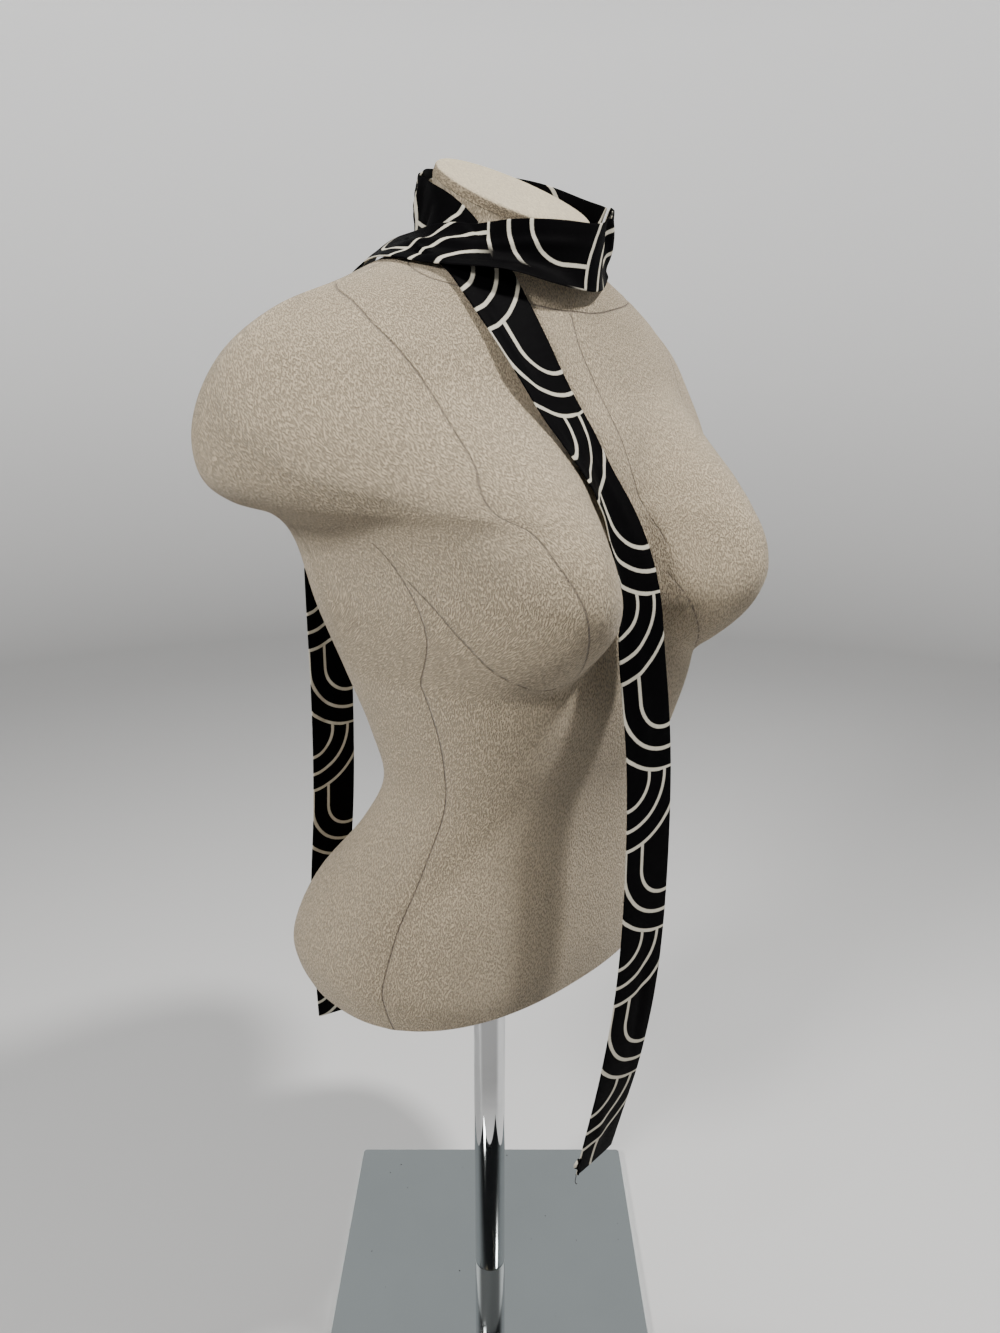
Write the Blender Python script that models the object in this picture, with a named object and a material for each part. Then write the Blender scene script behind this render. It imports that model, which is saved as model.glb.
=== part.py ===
# A skinny satin scarf wound once round the neck of a limbless dress form on a pole and a square base.
# Metres, +Z up. The form faces -Y, its right side is at -X, and the origin is under the base.
# Blender 4.5.

import math

import bmesh
import bpy
import numpy as np
from mathutils import Vector
from mathutils.bvhtree import BVHTree

# Driving sizes
PLATE_SIDE = 0.250
PLATE_THICK = 0.008
PLATE_CORNER = 0.004
PLATE_TURN = 45.0  # degrees between the base and the form's front
POLE_RADIUS = 0.0125
POLE_SOCKET = 0.060  # how far the pole goes up into the form
GAP = 0.0003  # clearance between pieces that meet
SCARF_WIDTH = 0.037
SCARF_THICK = 0.0016
SCARF_CLEAR = 0.0017  # from the scarf's inner face to the form
NECK_AXIS_Y = -0.023  # the neck stands forward of the pole
CAP_THICK = 0.006
CAP_ROUND = 0.0025

# The form, from its underside to the slanted top of the neck. Columns: height, half width,
# depth in front, depth behind, where the widest point lies in y, roundness power behind and in
# front (2 is an ellipse), and how far the ring climbs towards the back for each metre.
FORM_RINGS = (
    (0.318, 0.138, 0.089, 0.106, 0.006, 2.40, 2.40, 0.00),
    (0.335, 0.145, 0.093, 0.111, 0.008, 2.40, 2.40, 0.00),
    (0.355, 0.148, 0.096, 0.111, 0.008, 2.30, 2.30, 0.00),
    (0.390, 0.138, 0.098, 0.092, 0.000, 2.30, 2.40, 0.00),
    (0.430, 0.114, 0.100, 0.062, -0.015, 2.20, 2.70, 0.00),
    (0.468, 0.101, 0.106, 0.044, -0.028, 2.20, 3.00, 0.00),
    (0.505, 0.107, 0.118, 0.054, -0.028, 2.20, 3.20, 0.00),
    (0.545, 0.119, 0.126, 0.070, -0.024, 2.20, 3.20, 0.00),
    (0.590, 0.131, 0.121, 0.084, -0.014, 2.30, 3.00, 0.00),
    (0.630, 0.139, 0.118, 0.092, -0.004, 2.30, 2.60, 0.00),
    (0.648, 0.150, 0.117, 0.095, 0.004, 2.30, 2.40, 0.00),
    (0.658, 0.180, 0.116, 0.096, 0.008, 2.20, 2.20, 0.00),
    (0.672, 0.198, 0.113, 0.096, 0.010, 2.10, 2.10, 0.00),
    (0.695, 0.203, 0.106, 0.093, 0.012, 2.00, 2.00, 0.00),
    (0.720, 0.197, 0.094, 0.087, 0.010, 1.95, 1.95, 0.00),
    (0.744, 0.183, 0.085, 0.078, 0.004, 1.80, 1.80, 0.00),
    (0.764, 0.158, 0.078, 0.064, -0.004, 1.60, 1.60, 0.00),
    (0.777, 0.126, 0.073, 0.050, -0.012, 1.60, 1.60, 0.00),
    (0.787, 0.094, 0.071, 0.038, -0.018, 1.75, 1.75, 0.06),
    (0.796, 0.069, 0.071, 0.032, -0.020, 1.95, 1.95, 0.15),
    (0.804, 0.057, 0.071, 0.029, -0.022, 2.00, 2.00, 0.24),
    (0.818, 0.052, 0.070, 0.025, NECK_AXIS_Y, 2.00, 2.00, 0.40),
    (0.831, 0.050, 0.067, 0.024, NECK_AXIS_Y, 2.00, 2.00, 0.55),
)
RING_STEPS = 2  # rings made between two rows
RING_POINTS = 60

# Each breast is a mound on the front, softer above its apex than below it.
BUST_X = 0.082
BUST_Z = 0.612
BUST_HALF_WIDTH = 0.080
BUST_ABOVE = 0.122
BUST_BELOW = 0.063
BUST_DEPTH = 0.056

# The scarf's course from the tip behind to the tip in front.
# Hanging rows: x, y, z of the strip's middle, then the direction that its outer face looks in.
BACK_TAIL = (
    (-0.066, 0.112, 0.228, 0.0, 1.0, 0.0),
    (-0.067, 0.112, 0.300, 0.0, 1.0, 0.0),
    (-0.068, 0.109, 0.350, 0.0, 1.0, 0.0),
    (-0.067, 0.101, 0.420, 0.0, 1.0, 0.0),
    (-0.066, 0.098, 0.500, 0.0, 1.0, 0.0),
    (-0.066, 0.098, 0.600, 0.0, 1.0, 0.0),
    (-0.065, 0.097, 0.670, -0.1, 1.0, 0.1),
    (-0.064, 0.086, 0.730, -0.2, 0.9, 0.4),
    (-0.066, 0.062, 0.778, -0.3, 0.6, 0.7),
)
SHOULDER = (
    (-0.070, 0.034, 0.800, -0.4, 0.1, 0.9),
    (-0.072, 0.006, 0.805, -0.5, -0.2, 0.85),
    (-0.071, -0.018, 0.799, -0.5, -0.35, 0.8),
)
# Rows round the neck: angle from the front towards the form's left, height, distance from the
# neck's axis, how far the face leans up (degrees), then the lengthwise crease: its place across
# the width from the lower edge (0 to 1) and how far the part below it turns up (degrees).
NECK_LOOP = (
    (-67.0, 0.794, 0.0670, 8.0, 0.75, 58.0),
    (-46.0, 0.794, 0.0600, 5.0, 0.47, 54.0),
    (-28.0, 0.797, 0.0590, 4.0, 0.26, 50.0),
    (-8.0, 0.798, 0.0595, 3.0, 0.05, 34.0),
    (15.0, 0.798, 0.0600, 2.0, -0.10, 20.0),
    (42.0, 0.806, 0.0575, -10.0, -0.10, 0.0),
    (68.0, 0.813, 0.0600, -8.0, -0.10, 0.0),
    (96.0, 0.827, 0.0640, 0.0, -0.10, 0.0),
    (125.0, 0.841, 0.0620, 0.0, -0.10, 0.0),
    (155.0, 0.843, 0.0580, 0.0, -0.10, 0.0),
    (185.0, 0.840, 0.0560, 0.0, -0.10, 0.0),
    (212.0, 0.835, 0.0560, 0.0, -0.10, 0.0),
    (236.0, 0.824, 0.0570, 8.0, -0.10, 0.0),
    (256.0, 0.814, 0.0590, 12.0, -0.10, 0.0),
)
FRONT_TAIL = (
    (-0.063, -0.040, 0.801, -0.5, -0.5, 0.7),
    (-0.060, -0.058, 0.780, -0.2, -0.8, 0.6),
    (-0.055, -0.075, 0.757, -0.1, -0.88, 0.47),
    (-0.048, -0.091, 0.730, 0.0, -0.88, 0.47),
    (-0.041, -0.104, 0.704, 0.05, -0.9, 0.43),
    (-0.030, -0.116, 0.672, 0.05, -0.93, 0.33),
    (-0.018, -0.129, 0.642, -0.05, -0.98, 0.2),
    (-0.015, -0.144, 0.606, -0.10, -1.0, 0.1),
    (-0.0130, -0.150, 0.565, -0.05, -1.0, 0.0),
    (-0.012, -0.150, 0.500, 0.0, -1.0, 0.0),
    (-0.012, -0.151, 0.420, 0.0, -1.0, 0.0),
    (-0.013, -0.150, 0.350, 0.0, -1.0, 0.0),
    (-0.018, -0.145, 0.290, 0.0, -1.0, 0.0),
    (-0.024, -0.138, 0.250, 0.0, -1.0, 0.0),
    (-0.029, -0.133, 0.222, 0.0, -1.0, 0.0),
)
STATION_STEP = 0.008
ACROSS = 8  # cells across the strip
TIP_SLANT = 0.030  # how much further one corner of each slanted end reaches
TIP_FADE = 0.090  # how far up the strip the slant is taken out again
LAYER_CLEAR = 0.0012  # between two strands that cross
CROSSING_REACH = 0.015
NECK_REACH = 0.050
SETTLE_TURNS = 4

LAST_ROW = len(BACK_TAIL + SHOULDER + NECK_LOOP + FRONT_TAIL) - 1

# The strand that lies underneath at the crossing comes first. Columns: name, first row, last row.
UNDER_STRAND = (
    ("scarf_neck_back", 18, 23),
    ("scarf_neck_right", 23, 27),
    ("scarf_tail_front", 27, 40),
)
OVER_STRAND = (
    ("scarf_tail_back", 0, 9),
    ("scarf_shoulder", 9, 12),
    ("scarf_neck_front", 12, 18),
)


def material(name, colour, roughness, metallic):
    made = bpy.data.materials.new(name)
    made.use_nodes = True
    shader = made.node_tree.nodes["Principled BSDF"]
    shader.inputs["Base Color"].default_value = (*colour, 1.0)
    shader.inputs["Roughness"].default_value = roughness
    shader.inputs["Metallic"].default_value = metallic
    made.diffuse_color = (*colour, 1.0)
    return made


def add_object(name, bm, collection, look, smooth_angle=40.0):
    mesh = bpy.data.meshes.new(name)
    bm.to_mesh(mesh)
    bm.free()
    mesh.shade_smooth()
    mesh.set_sharp_from_angle(angle=math.radians(smooth_angle))
    obj = bpy.data.objects.new(name, mesh)
    obj.data.materials.append(look)
    collection.objects.link(obj)
    return obj


def spline_rows(rows, steps):
    """Rows along a Catmull-Rom curve through the given rows."""
    table = np.array(rows, float)
    last = len(table) - 1
    made = []
    for i in range(last):
        before = table[max(i - 1, 0)]
        here = table[i]
        there = table[i + 1]
        after = table[min(i + 2, last)]
        for j in range(steps):
            t = j / steps
            made.append(
                0.5 * (2 * here + (there - before) * t
                       + (2 * before - 5 * here + 4 * there - after) * t ** 2
                       + (3 * here - before - 3 * there + after) * t ** 3)
            )
    made.append(table[last])
    return made


def form_ring(row):
    """One closed ring of the form, before the bust is raised."""
    height, half_width, front, behind, middle, power_behind, power_front, climb = row
    ring = []
    for i in range(RING_POINTS):
        angle = 2 * math.pi * i / RING_POINTS
        across = math.sin(angle)
        along = math.cos(angle)
        depth = front + middle if along > 0 else behind - middle
        power = power_front if along > 0 else power_behind
        x = half_width * math.copysign(abs(across) ** (2 / power), across)
        y = middle - depth * math.copysign(abs(along) ** (2 / power), along)
        ring.append(Vector((x, y, height + climb * (y - middle))))
    return ring


def raise_bust(point):
    """Moves a point of the front forward where a breast lies."""
    if point.y > 0:
        return point
    rise = 0.0
    for side in (-1, 1):
        across = (point.x - side * BUST_X) / BUST_HALF_WIDTH
        up = point.z - BUST_Z
        up = up / BUST_ABOVE if up > 0 else up / BUST_BELOW
        inside = max(0.0, 1 - across ** 2 - up ** 2)
        rise = max(rise, inside ** (2.4 if up > 0 else 1.25))
    return Vector((point.x, point.y - BUST_DEPTH * rise, point.z))


def form_rings():
    """The form's rings from its underside to the slanted top of its neck."""
    rows = spline_rows(FORM_RINGS, RING_STEPS)
    return [[raise_bust(point) for point in form_ring(row)] for row in rows]


def neck_direction():
    """The way that the slanted top of the neck looks."""
    return Vector((0, -FORM_RINGS[-1][-1], 1)).normalized()


def cylinder(radius, low, high, segments):
    bm = bmesh.new()
    bmesh.ops.create_cone(bm, cap_ends=True, segments=segments, radius1=radius, radius2=radius,
                          depth=high - low)
    bmesh.ops.translate(bm, vec=(0, 0, (low + high) / 2), verts=bm.verts)
    return bm


def make_form():
    """The covered torso: a loft through the rings, closed flat below and slanted above."""
    bm = bmesh.new()
    loops = [[bm.verts.new(point) for point in ring] for ring in form_rings()]
    for lower, upper in zip(loops, loops[1:]):
        for i in range(RING_POINTS):
            j = (i + 1) % RING_POINTS
            bm.faces.new((lower[i], lower[j], upper[j], upper[i]))
    bm.faces.new(list(reversed(loops[0])))
    bm.faces.new(loops[-1])
    return bm


def make_neck_cap():
    """The covered oval disc that closes the neck, lying on its slanted top."""
    normal = neck_direction()
    bm = bmesh.new()
    face = bm.faces.new([bm.verts.new(p + normal * GAP) for p in form_rings()[-1]])
    made = bmesh.ops.extrude_face_region(bm, geom=[face])
    top = [v for v in made["geom"] if isinstance(v, bmesh.types.BMVert)]
    bmesh.ops.translate(bm, vec=normal * CAP_THICK, verts=top)
    bmesh.ops.recalc_face_normals(bm, faces=bm.faces)
    rim = {e for v in top for e in v.link_edges if all(w in top for w in e.verts)}
    bmesh.ops.bevel(bm, geom=list(rim), offset=CAP_ROUND, segments=3, affect="EDGES", profile=0.5,
                    material=-1)
    return bm


def make_plate():
    """The square base with rounded corners, turned against the form."""
    bm = bmesh.new()
    bmesh.ops.create_cube(bm, size=1)
    bmesh.ops.scale(bm, vec=(PLATE_SIDE, PLATE_SIDE, PLATE_THICK), verts=bm.verts)
    bmesh.ops.translate(bm, vec=(0, 0, PLATE_THICK / 2), verts=bm.verts)
    upright = [e for e in bm.edges if abs(e.verts[0].co.z - e.verts[1].co.z) > PLATE_THICK / 2]
    bmesh.ops.bevel(bm, geom=upright, offset=PLATE_CORNER, segments=5, affect="EDGES", profile=0.5,
                    material=-1)
    return bm


def loop_row(angle, height, distance, lean, crease, fold):
    """A row round the neck as a middle point, a facing direction, and its crease."""
    turn = math.radians(angle)
    tilt = math.radians(lean)
    out = Vector((math.sin(turn), -math.cos(turn), 0))
    facing = out * math.cos(tilt) + Vector((0, 0, math.sin(tilt)))
    middle = Vector((0, NECK_AXIS_Y, height)) + out * distance
    return (*middle, *facing, crease, fold)


def scarf_course():
    """All rows from the tip behind to the tip in front: middle, facing, crease and fold."""
    rows = [(*row, 1.0, 0.0) for row in BACK_TAIL + SHOULDER]
    rows += [loop_row(*row) for row in NECK_LOOP]
    rows += [(*row, 0.0, 0.0) for row in FRONT_TAIL]
    return rows


def cross_section(station, tangent, slant):
    """Points across the strip from its lower to its upper edge, bent at its crease."""
    middle = Vector(station[0:3])
    facing = Vector(station[3:6])
    facing = (facing - tangent * facing.dot(tangent)).normalized()
    crease = station[6]
    fold = math.radians(station[7])
    cell = SCARF_WIDTH / ACROSS
    points = [Vector((0, 0, 0))]
    for i in range(ACROSS):
        place = (i + 0.5) / ACROSS
        below = min(1.0, max(0.0, (crease - place) * 4 + 0.5))
        turn = fold * below
        looks = facing * math.cos(turn) + facing.cross(tangent) * math.sin(turn)
        points.append(points[-1] + looks.cross(tangent) * cell)
    half = points[ACROSS // 2].copy()
    made = []
    for i, point in enumerate(points):
        place = i / ACROSS
        made.append(middle + point - half + tangent * slant * (place - 0.5))
    return made


def strip_course():
    """The scarf's course in small steps: its rows, the table row of each, and the run to it."""
    rows = np.array(scarf_course())
    fine = np.array(spline_rows(rows, 24))
    marks = np.linspace(0, len(rows) - 1, len(fine))
    steps = np.linalg.norm(np.diff(fine[:, 0:3], axis=0), axis=1)
    run = np.concatenate([[0], np.cumsum(steps)])
    return fine, marks, run


def clear_of_form(point, tree):
    """Moves a point out to where the scarf's inner face clears the form."""
    wanted = SCARF_CLEAR + SCARF_THICK / 2
    near, normal, _, _ = tree.find_nearest(point)
    if (point - near).dot(normal) >= wanted:
        return point
    return near + normal * wanted


def clear_of_strand(point, tree):
    """Moves a point out to where it lies over the strand that it crosses."""
    wanted = SCARF_THICK + LAYER_CLEAR
    near, normal, _, distance = tree.find_nearest(point)
    height = (point - near).dot(normal)
    over = distance < wanted or abs(height) > 0.9 * distance
    if height >= wanted or distance > CROSSING_REACH or not over:
        return point
    return near + normal * wanted


def true_width(section):
    """Brings a cross-section back to the strip's real width, with its points evenly spaced."""
    steps = [(b - a).length for a, b in zip(section, section[1:])]
    run = np.concatenate([[0], np.cumsum(steps)])
    grow = max(1.0, SCARF_WIDTH / run[-1])
    middle = run[-1] / 2
    reach = SCARF_WIDTH / 2 / grow
    columns = np.array(section).T
    made = []
    for place in np.linspace(middle - reach, middle + reach, len(section)):
        made.append(Vector([float(np.interp(place, run, column)) for column in columns]))
    centre = made[len(made) // 2]
    return [centre + (point - centre) * grow for point in made]


def settle(grid, form_tree, strand_tree):
    """Lays a grid on what it rests on, and evens it along the strip, in turns."""
    for turn in range(SETTLE_TURNS):
        grid = [true_width([clear_of_form(p, form_tree) for p in row]) for row in grid]
        if strand_tree:
            grid = [[clear_of_strand(p, strand_tree) for p in row] for row in grid]
        evened = [grid[0]]
        for before, here, after in zip(grid, grid[1:], grid[2:]):
            evened.append([(a + b * 2 + c) / 4 for a, b, c in zip(before, here, after)])
        grid = evened + [grid[-1]]
    grid = [[clear_of_form(p, form_tree) for p in row] for row in grid]
    if strand_tree:
        grid = [[clear_of_strand(p, strand_tree) for p in row] for row in grid]
    return grid


def whole_grid(first_row, last_row, course):
    """The strip's middle surface between two rows, a row of points for each station."""
    fine, marks, run = course
    start = float(np.interp(first_row, marks, run))
    stop = float(np.interp(last_row, marks, run))
    count = round((stop - start) / STATION_STEP)
    reach = STATION_STEP / 2
    grid = []
    for place in np.linspace(start, stop, count + 1):
        station = [float(np.interp(place, run, column)) for column in fine.T]
        ahead = [float(np.interp(place + reach, run, fine[:, c])) for c in range(3)]
        behind = [float(np.interp(place - reach, run, fine[:, c])) for c in range(3)]
        tangent = (Vector(ahead) - Vector(behind)).normalized()
        from_end = min(place, run[-1] - place)
        slant = -TIP_SLANT * max(0.0, 1 - from_end / TIP_FADE)
        grid.append(cross_section(station, tangent, slant))
    return grid


def station_of_row(row, first_row, last_row, course):
    """Which station of a strand's grid lies nearest to a row of the tables."""
    _, marks, run = course
    start, here, stop = (float(np.interp(r, marks, run)) for r in (first_row, row, last_row))
    count = round((stop - start) / STATION_STEP)
    return round((here - start) / (stop - start) * count)


def sheet_tree(grid):
    """A search tree over a grid's outer side."""
    points = [p for row in grid for p in row]
    wide = len(grid[0])
    faces = []
    for i in range(len(grid) - 1):
        for j in range(wide - 1):
            corner = i * wide + j
            faces.append((corner, corner + wide, corner + wide + 1, corner + 1))
    return BVHTree.FromPolygons(points, faces)


def resting_surface():
    """A search tree over the form's side, with the neck carried on past its top."""
    rings = form_rings()
    rings.append([point + neck_direction() * NECK_REACH for point in rings[-1]])
    return sheet_tree([ring + ring[:1] for ring in reversed(rings)])


def trim_ends(grid, start, stop):
    """Draws the end rows back by half a gap, where another stretch follows."""
    if start:
        grid[0] = [a + (b - a).normalized() * GAP / 2 for a, b in zip(grid[0], grid[1])]
    if stop:
        grid[-1] = [a + (b - a).normalized() * GAP / 2 for a, b in zip(grid[-1], grid[-2])]
    return grid


def wall(grid):
    """A closed wall of the scarf's thickness round a grid of points of its middle surface."""
    rows = len(grid)
    columns = len(grid[0])
    bm = bmesh.new()
    outer = []
    inner = []
    for i in range(rows):
        outer.append([])
        inner.append([])
        for j in range(columns):
            along = grid[min(i + 1, rows - 1)][j] - grid[max(i - 1, 0)][j]
            across = grid[i][min(j + 1, columns - 1)] - grid[i][max(j - 1, 0)]
            normal = across.cross(along).normalized() * -1
            half = normal * SCARF_THICK / 2
            outer[i].append(bm.verts.new(grid[i][j] + half))
            inner[i].append(bm.verts.new(grid[i][j] - half))
    for i in range(rows - 1):
        for j in range(columns - 1):
            bm.faces.new((outer[i][j], outer[i + 1][j], outer[i + 1][j + 1], outer[i][j + 1]))
            bm.faces.new((inner[i][j], inner[i][j + 1], inner[i + 1][j + 1], inner[i + 1][j]))
    for i in range(rows - 1):
        bm.faces.new((outer[i][0], inner[i][0], inner[i + 1][0], outer[i + 1][0]))
        bm.faces.new((outer[i][-1], outer[i + 1][-1], inner[i + 1][-1], inner[i][-1]))
    for j in range(columns - 1):
        bm.faces.new((outer[0][j], outer[0][j + 1], inner[0][j + 1], inner[0][j]))
        bm.faces.new((outer[-1][j], inner[-1][j], inner[-1][j + 1], outer[-1][j + 1]))
    bmesh.ops.recalc_face_normals(bm, faces=bm.faces)
    return bm


def clear_scene():
    for obj in list(bpy.data.objects):
        bpy.data.objects.remove(obj, do_unlink=True)


def new_collection(name):
    made = bpy.data.collections.new(name)
    bpy.context.scene.collection.children.link(made)
    return made


clear_scene()
parts = new_collection("scarf_on_dress_form")
cutters = new_collection("cutters")

linen = material("linen cover", (0.62, 0.57, 0.49), 0.85, 0.0)
chrome = material("chrome", (0.75, 0.76, 0.78), 0.08, 1.0)
steel = material("polished steel", (0.55, 0.60, 0.62), 0.22, 1.0)
satin = material("black satin", (0.012, 0.011, 0.012), 0.32, 0.0)

form = add_object("form_body", make_form(), parts, linen)
form_underside = FORM_RINGS[0][0]

# The blind socket in the form's underside, which the pole goes up into
socket = add_object(
    "socket_cutter",
    cylinder(POLE_RADIUS + GAP, form_underside - POLE_SOCKET, form_underside + POLE_SOCKET, 32),
    cutters, linen)
socket.hide_render = True
socket.display_type = "WIRE"
cut = form.modifiers.new("socket", "BOOLEAN")
cut.operation = "DIFFERENCE"
cut.solver = "EXACT"
cut.object = socket

add_object("neck_cap", make_neck_cap(), parts, linen)

plate = add_object("base_plate", make_plate(), parts, steel)
plate.rotation_euler.z = math.radians(PLATE_TURN)

add_object("pole",
           cylinder(POLE_RADIUS, PLATE_THICK + GAP, form_underside + POLE_SOCKET - GAP, 32),
           parts, chrome)

course = strip_course()
form_surface = resting_surface()
strand_surface = None
for strand in (UNDER_STRAND, OVER_STRAND):
    first = strand[0][1]
    last = strand[-1][2]
    grid = settle(whole_grid(first, last, course), form_surface, strand_surface)
    strand_surface = sheet_tree(grid)
    cuts = [station_of_row(row, first, last, course) for _, row, _ in strand] + [len(grid) - 1]
    for (name, start, stop), low, high in zip(strand, cuts, cuts[1:]):
        piece = trim_ends([list(row) for row in grid[low:high + 1]], start > 0, stop < LAST_ROW)
        add_object(name, wall(piece), parts, satin)
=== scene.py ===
# A skinny satin scarf wound once round the neck of a limbless dress form on a pole and a square base.
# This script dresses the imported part. Metres, +Z up, the form faces -Y and its right side is at -X.

import math

import bmesh
import bpy
import numpy as np
from mathutils import Matrix, Vector
from mathutils.bvhtree import BVHTree


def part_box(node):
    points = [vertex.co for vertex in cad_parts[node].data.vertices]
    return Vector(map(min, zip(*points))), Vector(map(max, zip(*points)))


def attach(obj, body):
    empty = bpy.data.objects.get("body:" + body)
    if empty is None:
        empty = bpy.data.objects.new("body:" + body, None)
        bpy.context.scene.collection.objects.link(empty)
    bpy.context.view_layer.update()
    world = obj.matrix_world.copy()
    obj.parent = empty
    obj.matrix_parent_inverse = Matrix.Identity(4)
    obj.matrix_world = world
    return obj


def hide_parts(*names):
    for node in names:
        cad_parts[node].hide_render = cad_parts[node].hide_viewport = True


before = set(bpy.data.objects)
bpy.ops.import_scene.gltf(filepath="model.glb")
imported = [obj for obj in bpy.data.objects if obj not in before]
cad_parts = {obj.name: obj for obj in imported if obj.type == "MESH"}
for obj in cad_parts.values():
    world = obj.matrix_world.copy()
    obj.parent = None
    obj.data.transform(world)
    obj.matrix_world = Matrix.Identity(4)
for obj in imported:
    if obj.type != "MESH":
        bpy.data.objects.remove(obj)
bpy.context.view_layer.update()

# The studio
# A pale floor that curves up into a wall all round. Light and shade are painted on it: its tone is
# darker at the bend and paler up the wall, it glows a little as painted light, most near the wall's
# top, and on the camera's side it is painted dark as shade. Two raised lamps stand to the left and
# right of the camera, and a third hangs over and behind the form. Over the wall, the room is pale
# behind the form and dark behind the camera, which is level with the form's shoulders.
CAMERA_PLACE = (-0.463, -0.475, 0.712)
CAMERA_TURN = (math.radians(74.8), 0.0, math.radians(-45.0))
CAMERA_LENS = 26.06
CAMERA_VIEW = (0.7, 0.7, 0.0)  # the way it looks, on the floor
FLOOR_RING = 0.6
FLOOR_RADIUS = 2.0
FLOOR_DROP = 0.0003
BEND_RADIUS = 1.1
BEND_STEPS = 16
WALL_TOP = 2.3
# The paper's painted light and shade: its tone and glow against distance from the centre plus
# height, in metres.
PAPER_PAINTED_LIGHT = ((0.5, 0.62, 0.03), (1.3, 0.52, 0.01), (2.3, 0.42, 0.01), (3.4, 0.66, 0.14),
               (5.0, 0.84, 0.52))
PAPER_SPAN = 5.5
# Where the paper is painted dark as shade, on the camera's side, and loses its painted glow.
# Columns: the direction that is still dark and the one that is pale (-1 is towards the camera, 1
# behind the form), then where the dark starts and where it is full, in metres as above.
PAINTED_SHADE_SIDES = ((-0.55, 0.15, 0.90, 1.60), (-0.70, -0.20, 0.10, 0.26))
PAINTED_SHADE_TONE = (0.28, 0.28, 0.28)
# Lamps. Columns: name, place, size, power in watts, colour.
LAMPS = (
    ("right_lamp", (0.52, -1.02, 2.25), 0.22, 55.0, (1.0, 0.98, 0.95)),
    ("left_lamp", (-1.75, -0.20, 1.60), 0.45, 40.0, (1.0, 0.98, 0.95)),
    ("top_lamp", (0.25, 0.45, 2.4), 1.0, 5.0, (1.0, 0.99, 0.97)),
)
ROOM_BRIGHT = (0.34, 0.355, 0.365)
ROOM_DARK = (0.012, 0.012, 0.013)
ROOM_CHANGE = (-0.35, 0.30)  # the direction where it is dark, and where it is bright
LAMP_AIM = Vector((0.0, -0.02, 0.52))


class Value:
    """A node's output that can be used in sums: each operator adds its Math node."""

    def __init__(self, look, socket):
        self.look = look
        self.socket = socket

    def __add__(self, other):
        return self.look.maths("ADD", self, other)

    def __sub__(self, other):
        return self.look.maths("SUBTRACT", self, other)

    def __rsub__(self, other):
        return self.look.maths("SUBTRACT", other, self)

    def __mul__(self, other):
        return self.look.maths("MULTIPLY", self, other)

    def __truediv__(self, other):
        return self.look.maths("DIVIDE", self, other)

    def __abs__(self):
        return self.look.maths("ABSOLUTE", self)

    def __lt__(self, other):
        return self.look.maths("LESS_THAN", self, other)

    def __gt__(self, other):
        return self.look.maths("GREATER_THAN", self, other)

    __radd__ = __add__
    __rmul__ = __mul__


class Look:
    """A material in the making. Its nodes come from one method, and its sums from Value."""

    def __init__(self, name, **constants):
        self.material = bpy.data.materials.new(name)
        self.material.use_nodes = True
        self.tree = self.material.node_tree
        self.shader = self.tree.nodes["Principled BSDF"]
        for socket, value in constants.items():
            self.shader.inputs[socket.replace("_", " ")].default_value = value

    def node(self, kind, settings, inputs, output=0):
        made = self.tree.nodes.new("ShaderNode" + kind)
        for name, value in settings.items():
            setattr(made, name, value)
        for name, value in inputs.items():
            self.plug(value, made.inputs[name])
        return Value(self, made.outputs[output])

    def plug(self, value, socket):
        if isinstance(value, Value):
            self.tree.links.new(value.socket, socket)
        else:
            socket.default_value = value

    def maths(self, operation, *values):
        return self.node("Math", {"operation": operation}, dict(enumerate(values)))

    def step(self, value, low, high):
        """0 below low, 1 above high, smooth between them."""
        return self.node("MapRange", {"interpolation_type": "SMOOTHSTEP"},
                         {"Value": value, "From Min": low, "From Max": high})

    def mix(self, factor, first, second):
        """A colour between two colours, which are triples or links."""
        first, second = (c if isinstance(c, Value) else (*c, 1.0) for c in (first, second))
        return self.node("Mix", {"data_type": "RGBA"}, {0: factor, 6: first, 7: second}, 2)

    def ramp(self, value, stops):
        """A colour from a row of (place, colour) stops."""
        made = self.node("ValToRGB", {}, {0: value}, "Color")
        elements = made.socket.node.color_ramp.elements
        while len(elements) < len(stops):
            elements.new(1.0)
        for element, (place, colour) in zip(elements, stops):
            element.position = place
            element.color = (*colour, 1.0)
        return made

    def place(self, scale=(1, 1, 1), turn=(0, 0, 0)):
        """Object coordinates, scaled and turned."""
        where = self.node("TexCoord", {}, {}, "Object")
        return self.node("Mapping", {}, {"Vector": where, "Scale": scale, "Rotation": turn})

    def noise(self, where, scale, detail=2.0, roughness=0.5, distortion=0.0):
        return self.node("TexNoise", {}, {"Vector": where, "Scale": scale, "Detail": detail,
                                          "Roughness": roughness, "Distortion": distortion})

    def bump(self, height, distance, strength):
        self.plug(self.node("Bump", {}, {"Height": height, "Distance": distance,
                                         "Strength": strength}), self.shader.inputs["Normal"])

    def finish(self, colour=None, roughness=None):
        if colour is not None:
            self.plug(colour, self.shader.inputs["Base Color"])
        if roughness is not None:
            self.plug(roughness, self.shader.inputs["Roughness"])
        return self.material


def add_object(name, bm, look, smooth_angle=35.0):
    """A finished mesh as an object at the origin, smooth but for its sharp edges."""
    mesh = bpy.data.meshes.new(name)
    bm.to_mesh(mesh)
    bm.free()
    mesh.shade_smooth()
    mesh.set_sharp_from_angle(angle=math.radians(smooth_angle))
    mesh.materials.append(look)
    obj = bpy.data.objects.new(name, mesh)
    bpy.context.scene.collection.objects.link(obj)
    return obj


camera = bpy.data.objects.new("camera", bpy.data.cameras.new("camera"))
camera.location = CAMERA_PLACE
camera.rotation_euler = CAMERA_TURN
camera.data.lens = CAMERA_LENS
camera.data.sensor_width = 36.0
camera.data.clip_start = 0.01
bpy.context.scene.collection.objects.link(camera)
bpy.context.scene.camera = camera

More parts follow.
